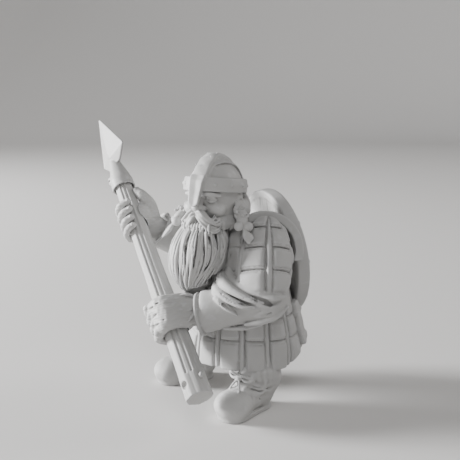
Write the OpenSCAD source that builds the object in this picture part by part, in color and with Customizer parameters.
// Tabletop miniature: a stocky bearded spearman in a quilted coat, built as a kit of separate castings.
// Millimetres, +Z up, the figure looks along -Y and its left hand is on +X.
// The origin is on the ground, midway between the two boots.

/* [Stance] */
// Distance between the middles of the two boots
stance_w = 11.8; // [11.6:0.1:12.2]
// How far each foot is turned outward, in degrees
foot_splay = 13; // [10:1:16]
// How far the right boot stands ahead of the left one
right_step = 1.3; // [1:0.1:1.6]

/* [Coat] */
// Height of the coat's hem above the ground
hem_z = 5.0; // [4.9:0.1:5.2]
// Height of the waist, where the coat's skirt meets the body
waist_z = 12.6; // [12.4:0.1:12.8]
// Thickness of the turned cuffs along the arm
cuff_t = 0.9; // [0.7:0.1:1.1]

/* [Spear] */
// Length of the shaft, from the butt to the mouth of the spearhead's socket
shaft_l = 29.7; // [29.5:0.1:29.9]
// Radius of the shaft at the butt
butt_r = 1.57; // [1.5:0.01:1.6]
// Radius of the shaft under the spearhead
neck_r = 1.1; // [1.05:0.01:1.15]
// Number of ribs along the shaft, each between two grooves
ribs = 4; // [3:1:5]
// Radial clearance between the shaft and the bores of the fists
fist_gap = 0.06; // [0.04:0.01:0.1]

/* [Shield] */
// Radius of the round shield over its rim
shield_r = 8.1; // [7.8:0.1:8.2]
// Thickness of the shield's rim
rim_t = 1.6; // [1.4:0.1:1.7]
// Lean of the shield against the hunched back, in degrees
shield_lean = 8; // [7:1:9]
// How far the shield is swung towards the figure's left, in degrees
shield_yaw = 10; // [9:1:11]
// Radius of the peg that the shield turns on
peg_r = 1.2; // [1:0.1:1.4]
// Radial clearance of that peg in the back
peg_gap = 0.05; // [0.03:0.01:0.08]

/* [Head] */
// How far the head is turned towards the figure's left, in degrees
head_yaw = 28; // [26:1:30]
// Radius of the helmet at the brow
helm_r = 3.5; // [3.4:0.05:3.6]
// Height of the brow band
band_h = 1.6; // [1.4:0.1:1.8]
// Width of the strip that runs over the crown to the nose guard
strip_w = 1.7; // [1.5:0.1:1.9]

/* [Hidden] */
fine = 48;       // facets of a round shape that other pieces fit
soft = 14;       // facets of a soft form
far = 60;        // longer than anything in the figure
turn_gap = 0.6;  // between the turning head and everything it passes
braid_gap = 0.3; // between the left braid and the shoulder that stops it
back_gap = 0.35; // between the shield and everything it passes
resin = "lightgray";
resin_dark = "darkgray";

// Feet: the sole's outline is two circles and the waist between them, in the foot's own frame, toe to -Y
toe_y = -2.4;
heel_y = 2.3;
toe_r = 2.3;
heel_r = 2.0;
sole_t = 0.6;
boot_top = 4.4;
leg_r = 1.75;
left_foot = [stance_w / 2, -3.7];
right_foot = [-stance_w / 2, -3.7 - right_step];

// Spear: axis from the butt up to the tip, in a plane across the figure's front
spear_y = -10.5;
butt_end = [6.4, spear_y, 3.65];
spear_dir = [-27.3, 0, 29.5] / norm([-27.3, 0, 29.5]);
spear_tilt = acos(spear_dir[2]);
tenon_r = 0.6;
cap_l = 3.4;
collar_l = 1.3;
socket_r = 1.45;
socket_l = 3.4;
blade_at = 2.4;     // from the socket's mouth to the foot of the blade
blade_neck = 1.4;   // half the blade's width at its foot
blade_wide = 1.9;   // from its foot to its widest place
blade_w = 3.0;      // and half its width there
blade_l = 8.1;
blade_t = 0.5;
rib_t = 0.9;
function on_spear(s) = butt_end + s * spear_dir;
function shaft_r(s) = butt_r + (neck_r - butt_r) * s / shaft_l;
low_grip = 9.4;     // along the shaft, from the butt to the middle of the left fist
high_grip = 24.8;   // and of the right one
fist_h = 4.7;
fist_r = 2.4;

// Arms: shoulder, elbow, end of the sleeve and grip
left_shoulder = [5.0, -0.5, 19.7];
left_elbow = [7.3, -2.1, 13.2];
left_grip = on_spear(low_grip);
left_wrist = left_elbow + 0.60 * (left_grip - left_elbow);
right_shoulder = [-5.0, -0.5, 19.7];
right_elbow = [-9.2, -2.4, 16.2];
right_grip = on_spear(high_grip);
right_wrist = right_elbow + 0.50 * (right_grip - right_elbow);
wrist_r = 1.5;
cuff_r = 2.6;

// Head: the peg in the neck is the pivot, and the helmet stands on a plane through the brow
neck_p = [0, -3.9, 20.6];
neck_r_peg = 1.3;
head_p = [0, -4.5, 24.1];
helm_rise = 1.0;
helm_pitch = 6;
band_t = 0.4;
dome_h = 3.6;

// Shield frame: middle of the inner face, and the direction out of the back
shield_p = [-2.3, 4.85, 16.4];
board_t = 1.2;
board_r = shield_r - 0.9;
boss_r = 2.1;
peg_l = 2.6;

/* ---- helpers ---- */
// An ellipsoid at p with the three radii r, all of them grown by g
module egg(p, r, g = 0) {
    translate(p) scale([r[0] + g, r[1] + g, r[2] + g]) sphere(1, $fn = soft);
}
// Hulls each neighbouring pair of eggs in a list of [centre, radii]
module chain(eggs, g = 0) {
    for (i = [0:len(eggs) - 2])
        hull() {
            egg(eggs[i][0], eggs[i][1], g);
            egg(eggs[i + 1][0], eggs[i + 1][1], g);
        }
}
// Puts its children's +Z along the line from p to q, with their origin at p
module toward(p, q) {
    d = q - p;
    translate(p) rotate([0, acos(d[2] / norm(d)), atan2(d[1], d[0])]) children();
}
// Everything past q, square to the line from p to q
module beyond(p, q) {
    toward(q, q + (q - p)) cylinder(h = far, r = far, $fn = fine);
}
module below(z) {
    translate([-far / 2, -far / 2, z - far]) cube(far);
}
module in_foot(at, side) {
    translate([at[0], at[1], 0]) rotate(side * foot_splay) children();
}
module in_spear() {
    translate(butt_end) rotate([0, -spear_tilt, 0]) children();
}
module in_shield() {
    translate(shield_p) rotate(-shield_yaw) rotate([-90 + shield_lean, 0, 0]) children();
}
module in_head() {
    translate(head_p) rotate(head_yaw) children();
}
module in_helmet() {
    in_head() translate([0, -0.1, helm_rise]) rotate([-helm_pitch, 0, 0]) children();
}
// The room that the shield needs on the figure's back
module shield_room(r = shield_r + 0.5) {
    in_shield() translate([0, 0, -back_gap]) cylinder(h = far, r = r, $fn = fine);
}

/* ---- coat ---- */
module torso_form(g = 0) {
    hull() {
        egg([0, -0.8, 13.0], [6.7, 5.3, 2.4], g);
        egg([0, -0.9, 16.6], [6.3, 5.0, 3.2], g);
        egg([0, -0.8, 19.6], [5.8, 4.2, 2.4], g);
    }
}
module torso() {
    color(resin) difference() {
        torso_form();
        below(waist_z);
        translate(neck_p + [0, 0, -2]) cylinder(h = far, r = neck_r_peg + peg_gap, $fn = fine);
        in_shield() translate([0, 0, -peg_l - 0.4]) cylinder(h = far, r = peg_r + peg_gap, $fn = fine);
        shield_room();
    }
}
module skirt_form() {
    hull() {
        translate([0, -0.5, hem_z]) scale([7.9, 6.8, 1]) cylinder(h = 1.4, r = 1, $fn = 36);
        translate([0, -0.8, waist_z - 0.4]) scale([6.7, 5.3, 1]) cylinder(h = 0.4, r = 1, $fn = 36);
    }
}
module coat_skirt() {
    color(resin) difference() {
        skirt_form();
        shield_room();
    }
}
// The strap goes over the shoulder, from beside the hair to the back of the armpit
module shield_strap() {
    color(resin_dark) difference() {
        translate([4.2, -0.3, 18.4]) rotate([0, 75, -21]) rotate_extrude($fn = 40)
            translate([3.7, -0.6]) square([1.2, 1.2]);
        torso_form();
        left_upper_form();
        below(17.4);
        translate([-far / 2, -far - 0.4, 0]) cube(far);
        shield_room(far);
        in_head() head_form(turn_gap);
        in_head() side_hair_form(turn_gap);
    }
}
module sheath_form(from, to) {
    hull() {
        translate(from) scale([0.9, 0.55, 0.6]) sphere(1, $fn = soft);
        translate(to) scale([1.15, 0.6, 0.6]) sphere(1, $fn = soft);
    }
}
sheath_top = [5.0, 3.3, 11.6];
sheath_end = [5.2, 4.5, 7.4];
sheath_tip = [5.22, 4.65, 6.6];
module hip_sheath() {
    color(resin_dark) difference() {
        sheath_form(sheath_top, sheath_end);
        skirt_form();
        torso_form();
        shield_room();
        beyond(sheath_top, sheath_end);
    }
}
module sheath_chape() {
    color(resin) difference() {
        sheath_form(sheath_end, sheath_tip);
        skirt_form();
        toward(sheath_end, sheath_top) cylinder(h = far, r = far, $fn = fine);
    }
}

/* ---- legs and boots ---- */
module boot_form() {
    chain([
        [[0, toe_y, 1.75], [toe_r, toe_r, 1.95]],
        [[0, -0.4, 2.1], [1.9, 2.0, 1.6]],
        [[0, heel_y - 0.2, 2.2], [heel_r, heel_r, 1.9]],
        [[0, heel_y - 0.2, 4.6], [2.3, 2.3, 1.6]],
        [[0, 0.1, 3.0], [1.7, 1.7, 1.5]],
    ]);
}
module boot(at, side) {
    color(resin) difference() {
        in_foot(at, side) boot_form();
        below(sole_t);
        translate([-far / 2, -far / 2, boot_top]) cube(far);
        leg(at, side);
    }
}
module sole(at, side) {
    color(resin_dark) in_foot(at, side) linear_extrude(sole_t) {
        translate([0, toe_y]) circle(toe_r - 0.15, $fn = fine);
        translate([0, heel_y]) circle(heel_r - 0.15, $fn = fine);
        polygon([[-toe_r + 0.2, toe_y], [toe_r - 0.2, toe_y], [heel_r - 0.2, heel_y], [-heel_r + 0.2, heel_y]]);
    }
}
module leg(at, side) {
    color(resin_dark) in_foot(at, side) translate([0, heel_y - 0.2, boot_top - 1.2])
        cylinder(h = hem_z - boot_top + 1.2, r = leg_r, $fn = fine);
}
// Three crossings of lace over the instep, each a pair of cords from side to side
module laces(at, side) {
    color(resin_dark) difference() {
        in_foot(at, side) for (i = [0:2], s = [-1, 1]) {
            y = -1.5 + 0.75 * i;
            z = 4.1 + 0.3 * i;
            hull() {
                translate([-s * 1.3, y - 0.35, z - 0.55]) sphere(0.3, $fn = 10);
                translate([0, y, z]) sphere(0.3, $fn = 10);
            }
            hull() {
                translate([0, y, z]) sphere(0.3, $fn = 10);
                translate([s * 1.3, y + 0.35, z - 0.45]) sphere(0.3, $fn = 10);
            }
        }
        in_foot(at, side) boot_form();
    }
}

/* ---- arms ---- */
module left_upper_form(g = 0) {
    chain([
        [left_shoulder + [-0.6, 0, 0.1], [2.6, 2.7, 2.4]],
        [left_shoulder + [0.9, -0.3, -1.8], [2.7, 2.9, 2.6]],
        [left_elbow + [0, 0.1, 0.3], [2.5, 2.6, 2.4]],
    ], g);
}
module left_upper_sleeve() {
    color(resin) difference() {
        left_upper_form();
        torso_form();
        skirt_form();
    }
}
module left_forearm_form(g = 0) {
    chain([
        [left_elbow, [2.3, 2.4, 2.2]],
        [left_elbow + 0.25 * (left_grip - left_elbow), [2.2, 2.2, 2.1]],
        [left_wrist, [2.4, 2.4, 2.4]],
    ], g);
}
module left_forearm_sleeve() {
    color(resin) difference() {
        left_forearm_form();
        left_upper_form();
        torso_form();
        skirt_form();
        beyond(left_elbow, left_wrist);
    }
}
module right_upper_form(g = 0) {
    chain([
        [right_shoulder + [0.6, 0, 0.1], [2.6, 2.7, 2.4]],
        [right_shoulder + [-1.6, -0.5, -1.2], [2.6, 2.7, 2.6]],
        [right_elbow + [0, 0.2, 0], [2.4, 2.4, 2.4]],
    ], g);
}
module right_upper_sleeve() {
    color(resin) difference() {
        right_upper_form();
        torso_form();
    }
}
module right_forearm_sleeve() {
    color(resin) difference() {
        chain([
            [right_elbow, [2.3, 2.3, 2.3]],
            [right_elbow + 0.25 * (right_grip - right_elbow), [2.2, 2.2, 2.3]],
            [right_wrist, [2.4, 2.4, 2.4]],
        ]);
        right_upper_form();
        torso_form();
        beyond(right_elbow, right_wrist);
    }
}
// A ring square to the arm at the end of the sleeve, around the wrist
module cuff(elbow, at) {
    color(resin_dark) difference() {
        toward(at, at + (at - elbow)) difference() {
            cylinder(h = cuff_t, r1 = cuff_r - 0.15, r2 = cuff_r, $fn = fine);
            translate([0, 0, -1]) cylinder(h = cuff_t + 2, r = wrist_r, $fn = fine);
        }
        torso_form();
        skirt_form();
    }
}
// A closed fist: a rounded drum on the spear's axis with the wrist running back to the sleeve
module hand(at, s, wrist) {
    color(resin) difference() {
        union() {
            intersection() {
                in_spear() translate([0, 0, s - fist_h / 2]) cylinder(h = fist_h, r = fist_r, $fn = fine);
                translate(at) sphere(3.2, $fn = fine);
            }
            toward(wrist, at) cylinder(h = norm(at - wrist), r = wrist_r, $fn = fine);
        }
        // the tapered bore that the shaft turns in
        in_spear() cylinder(h = shaft_l, r1 = butt_r + fist_gap, r2 = neck_r + fist_gap, $fn = fine);
    }
}

/* ---- head and helmet: every form here is in the head's own frame, face to -Y ---- */
module head_form(g = 0) {
    chain([
        [[0, 0.1, 0.5], [3.2, 3.3, 2.6]],
        [[0, -0.2, -1.2], [2.8, 2.9, 2.3]],
    ], g);
}
module nose_form() {
    hull() {
        egg([0, -3.1, 0.5], [0.5, 0.6, 0.6]);
        egg([0, -3.7, -0.35], [0.85, 0.85, 0.7]);
    }
}
module head() {
    color(resin) difference() {
        in_head() {
            head_form();
            nose_form();
        }
        in_helmet() {
            translate([-far / 2, -far / 2, 0]) cube(far);
            nose_guard_form();
        }
        torso_form(turn_gap);
        left_upper_form(braid_gap);
        translate(neck_p) cylinder(h = 2.2, r = neck_r_peg, $fn = fine);
    }
}
module neck_peg() {
    color(resin_dark) translate(neck_p + [0, 0, -1.9]) cylinder(h = 4.1, r = neck_r_peg, $fn = fine);
}
// The helmet's outline: straight under the band, then a round crown
module dome(grow) {
    shift = band_h - 0.9;
    rotate_extrude($fn = fine)
        polygon(concat(
            [[0, 0], [helm_r + grow, 0], [helm_r + grow, shift]],
            [for (a = [10:10:80]) [(helm_r + grow) * cos(a), shift + (dome_h - shift + grow) * sin(a)]],
            [[0, dome_h + grow]]
        ));
}
module helmet_skull() {
    color(resin) in_helmet() dome(0);
}
module helmet_band() {
    color(resin) in_helmet() difference() {
        cylinder(h = band_h, r = helm_r + band_t, $fn = fine);
        dome(0);
        translate([0, 0, -1]) cylinder(h = band_h + 1.1, r = helm_r, $fn = fine);
        band_rivets();
    }
}
// The strip from the brow to the nape, over the crown, standing on the band
module helmet_crest() {
    color(resin) in_helmet() difference() {
        intersection() {
            dome(band_t + 0.35);
            translate([-strip_w / 2, -far / 2, band_h]) cube([strip_w, far, far]);
        }
        dome(0);
        crest_rivets();
    }
}
module nose_guard_form() {
    translate([-far / 2, 0, 0]) rotate([90, 0, 90]) linear_extrude(far)
        polygon([[-helm_r - band_t, -0.1], [-helm_r - band_t, band_h], [-helm_r - band_t - 0.35, band_h],
            [-helm_r - band_t - 0.75, -1.1], [-helm_r - band_t - 0.1, -1.1]]);
}
module nose_guard() {
    color(resin) in_helmet() difference() {
        intersection() {
            nose_guard_form();
            rotate([90, 0, 0]) linear_extrude(far)
                polygon([[-strip_w / 2, band_h], [strip_w / 2, band_h], [0.6, -1.1], [-0.6, -1.1]]);
        }
        cylinder(h = band_h + 0.01, r = helm_r + band_t, $fn = fine);
    }
}
// A rivet with a domed head, standing on +Z from a shank of the given length
module rivet(r, shank) {
    rotate_extrude($fn = 24) polygon([[0, -shank], [r, -shank], [r, 0.05], [r * 0.7, 0.2], [0, 0.26]]);
}
module band_rivets() {
    for (a = [30:30:330])
        rotate(a) translate([0, -helm_r - band_t, band_h / 2]) rotate([90, 0, 0]) rivet(0.28, band_t - 0.05);
}
module crest_rivets() {
    out = helm_r + band_t + 0.35;
    up = dome_h - band_h + 0.9 + band_t + 0.35;
    for (a = [35:22:145], s = [-1, 1])
        translate([s * (strip_w / 2 - 0.35), -out * cos(a), band_h - 0.9 + up * sin(a)])
            rotate([atan2(cos(a) / out, sin(a) / up), 0, 0]) rivet(0.24, 0.3);
}
module helmet_rivets() {
    color(resin_dark) in_helmet() {
        band_rivets();
        crest_rivets();
    }
}

/* ---- hair ---- */
module moustache_form(g = 0) {
    for (s = [-1, 1]) chain([
        [[s * 0.5, -3.3, -1.3], [0.8, 0.9, 0.75]],
        [[s * 1.7, -3.2, -2.1], [0.9, 0.9, 0.8]],
        [[s * 2.8, -2.9, -3.0], [0.5, 0.6, 0.6]],
    ], g);
}
module moustache() {
    color(resin) difference() {
        in_head() moustache_form();
        in_head() head_form();
        in_head() nose_form();
        torso_form(turn_gap);
        left_upper_form(braid_gap);
    }
}
module beard() {
    color(resin) difference() {
        chain([
            [[0.9, -6.6, 21.4], [3.0, 2.3, 1.2]],
            [[0.6, -6.7, 19.2], [4.0, 3.4, 2.0]],
            [[0.2, -6.8, 16.8], [4.1, 3.9, 2.2]],
            [[-0.1, -7.1, 15.0], [3.0, 3.0, 1.5]],
            [[-0.2, -7.3, 14.2], [1.7, 1.8, 0.8]],
        ]);
        in_head() moustache_form();
        in_head() head_form();
        torso_form(turn_gap);
        left_upper_form(braid_gap);
        right_upper_form(turn_gap);
        left_forearm_form(turn_gap);
        toward(left_wrist, left_grip) cylinder(h = 8, r = cuff_r + turn_gap, $fn = fine);
        in_spear() cylinder(h = shaft_l, r = butt_r + turn_gap + 0.3, $fn = fine);
    }
}
function braid_path(s) = [[s * 3.1, -1.1, -0.7], [s * 3.9, -1.8, -1.8], [s * 4.4, -2.2, -2.9], [s * 5.8, -2.6, -4.5]];
module braid_form(s, g = 0) {
    p = braid_path(s);
    chain([
        [p[0], [0.8, 0.8, 0.8]],
        [p[1], [0.7, 0.7, 0.7]],
        [p[2], [0.7, 0.7, 0.7]],
        [p[3], [0.4, 0.4, 0.5]],
    ], g);
}
module braid(s) {
    color(resin) difference() {
        in_head() braid_form(s);
        in_head() head_form();
        in_head() moustache_form();
        torso_form(turn_gap);
        left_upper_form(braid_gap);
        right_upper_form(turn_gap);
    }
}
// A flat ring and a round bead on the braid
module beads(s) {
    p = braid_path(s);
    color(resin_dark) difference() {
        in_head() toward(p[1], p[2]) {
            cylinder(h = 0.4, r = 1.0, $fn = fine);
            translate([0, 0, 1.1]) sphere(0.9, $fn = soft * 2);
        }
        in_head() braid_form(s);
        torso_form(turn_gap);
        left_upper_form(braid_gap);
    }
}
module side_hair_form(g = 0) {
    for (s = [-1, 1]) chain([
        [[s * 3.3, 1.5, -0.9], [0.9, 1.1, 1.2]],
        [[s * 2.6, 2.6, -1.4], [1.2, 1.1, 1.3]],
        [[0, 3.2, -1.6], [1.6, 0.9, 1.2]],
    ], g);
}
// Hair under the helmet's brim, round the sides and the nape
module side_hair() {
    color(resin) difference() {
        in_head() side_hair_form();
        in_head() head_form();
        in_helmet() translate([-far / 2, -far / 2, 0]) cube(far);
        torso_form(turn_gap);
        left_upper_form(braid_gap);
        right_upper_form(turn_gap);
        in_head() braid_form(1);
        in_head() braid_form(-1);
        shield_room(far);
    }
}

/* ---- spear ---- */
// Tapered shaft with flutes, and a tenon at each end
module spear_shaft() {
    slope = atan((shaft_r(cap_l) - neck_r) / (shaft_l - cap_l));
    color(resin) in_spear() difference() {
        union() {
            translate([0, 0, cap_l]) cylinder(h = shaft_l - collar_l - cap_l, r1 = shaft_r(cap_l),
                r2 = shaft_r(shaft_l - collar_l), $fn = fine);
            cylinder(h = shaft_l + 1.8, r = tenon_r, $fn = fine);
        }
        for (i = [0:ribs - 1], s = [-12, 12])
            rotate(360 * i / ribs - 33 + s) translate([shaft_r(cap_l), 0, cap_l - 0.5]) rotate([0, -slope, 0])
                cylinder(h = shaft_l, r = 0.14, $fn = 16);
    }
}
module butt_cap() {
    color(resin_dark) in_spear() difference() {
        cylinder(h = cap_l, r1 = butt_r, r2 = shaft_r(cap_l) + 0.04, $fn = fine);
        translate([0, 0, -1]) cylinder(h = cap_l + 2, r = tenon_r, $fn = fine);
        butt_pin_bodies();
    }
}
module butt_pin_bodies() {
    for (i = [0:3])
        rotate(45 + 90 * i) translate([butt_r - 0.45, 0, 1.5]) rotate([0, 90, 0])
            cylinder(h = 0.6, r = 0.24, $fn = 24);
}
module butt_pins() {
    color(resin) in_spear() butt_pin_bodies();
}
// A kite-shaped plate, thicker along its middle
module blade() {
    outline = [[-blade_neck, 0], [-blade_w, blade_wide], [-0.2, blade_l], [0.2, blade_l], [blade_w, blade_wide],
        [blade_neck, 0]];
    hull() {
        rotate([90, 0, 0]) linear_extrude(blade_t, center = true) polygon(outline);
        translate([-0.05, -rib_t / 2, 0]) cube([0.1, rib_t, blade_l - 1]);
    }
}
module spear_head() {
    color(resin) in_spear() translate([0, 0, shaft_l]) difference() {
        union() {
            cylinder(h = socket_l, r1 = socket_r, r2 = 0.5, $fn = fine);
            translate([0, 0, blade_at]) blade();
        }
        translate([0, 0, -1]) cylinder(h = 2.8, r = tenon_r, $fn = fine);
    }
}
// A ferrule on the end of the shaft, under the spearhead
module spear_collar() {
    color(resin_dark) in_spear() translate([0, 0, shaft_l - collar_l]) rotate_extrude($fn = fine)
        polygon([[tenon_r, 0], [neck_r + 0.12, 0], [neck_r + 0.25, collar_l - 0.3], [neck_r + 0.12, collar_l],
            [tenon_r, collar_l]]);
}
// A lug beside the socket's mouth, with a round eye for a cord
module spear_lug() {
    color(resin) in_spear() translate([0, 0, shaft_l]) rotate(240) difference() {
        translate([0, 0.3, 0.6]) rotate([90, 0, 0]) linear_extrude(0.6) difference() {
            union() {
                translate([socket_r - 0.8, -0.6]) square([1.1, 1.2]);
                translate([socket_r + 0.3, 0]) circle(0.6, $fn = 32);
            }
            translate([socket_r + 0.35, 0]) circle(0.25, $fn = 24);
        }
        cylinder(h = socket_l, r1 = socket_r, r2 = 0.5, $fn = fine);
    }
}

/* ---- shield ---- */
module shield_board() {
    color(resin) in_shield() difference() {
        cylinder(h = board_t, r = board_r, $fn = fine);
        translate([0, 0, -1]) cylinder(h = far, r = peg_r, $fn = fine);
    }
}
module shield_rim() {
    color(resin_dark) in_shield() rotate_extrude($fn = fine)
        polygon([[board_r, 0], [shield_r - 0.1, 0], [shield_r, 0.15], [shield_r, rim_t - 0.2],
            [shield_r - 0.2, rim_t], [board_r, rim_t]]);
}
module shield_boss() {
    color(resin) in_shield() translate([0, 0, board_t]) difference() {
        rotate_extrude($fn = fine)
            polygon(concat([[0, 0], [boss_r + 0.6, 0], [boss_r + 0.6, 0.25], [boss_r, 0.3]],
                [for (a = [10:10:80]) [boss_r * cos(a), 0.3 + 1.0 * sin(a)]], [[0, 1.3]]));
        translate([0, 0, -1]) cylinder(h = 1.5, r = peg_r, $fn = fine);
    }
}
module shield_rivets() {
    color(resin_dark) in_shield() for (i = [0:9])
        rotate(36 * i) translate([(board_r + shield_r) / 2, 0, rim_t]) rivet(0.3, 0);
}
module shield_peg() {
    color(resin_dark) in_shield() translate([0, 0, -peg_l]) cylinder(h = peg_l + board_t + 0.5, r = peg_r,
        $fn = fine);
}

/* ---- nodes ---- */
torso();
coat_skirt();
leg(left_foot, 1);  // left_leg
leg(right_foot, -1);  // right_leg
boot(left_foot, 1);  // left_boot
boot(right_foot, -1);  // right_boot
sole(left_foot, 1);  // left_sole
sole(right_foot, -1);  // right_sole
laces(left_foot, 1);  // left_laces
laces(right_foot, -1);  // right_laces
left_upper_sleeve();
left_forearm_sleeve();
cuff(left_elbow, left_wrist);  // left_cuff
hand(left_grip, low_grip, left_wrist);  // left_hand
right_upper_sleeve();
right_forearm_sleeve();
cuff(right_elbow, right_wrist);  // right_cuff
hand(right_grip, high_grip, right_wrist);  // right_hand
neck_peg();
head();
helmet_skull();
helmet_band();
helmet_crest();
nose_guard();
helmet_rivets();
moustache();
beard();
braid(1);  // left_braid
braid(-1);  // right_braid
beads(1);  // left_beads
beads(-1);  // right_beads
side_hair();
shield_strap();
hip_sheath();
sheath_chape();
spear_shaft();
butt_cap();
butt_pins();
spear_head();
spear_collar();
spear_lug();
shield_board();
shield_rim();
shield_boss();
shield_rivets();
shield_peg();
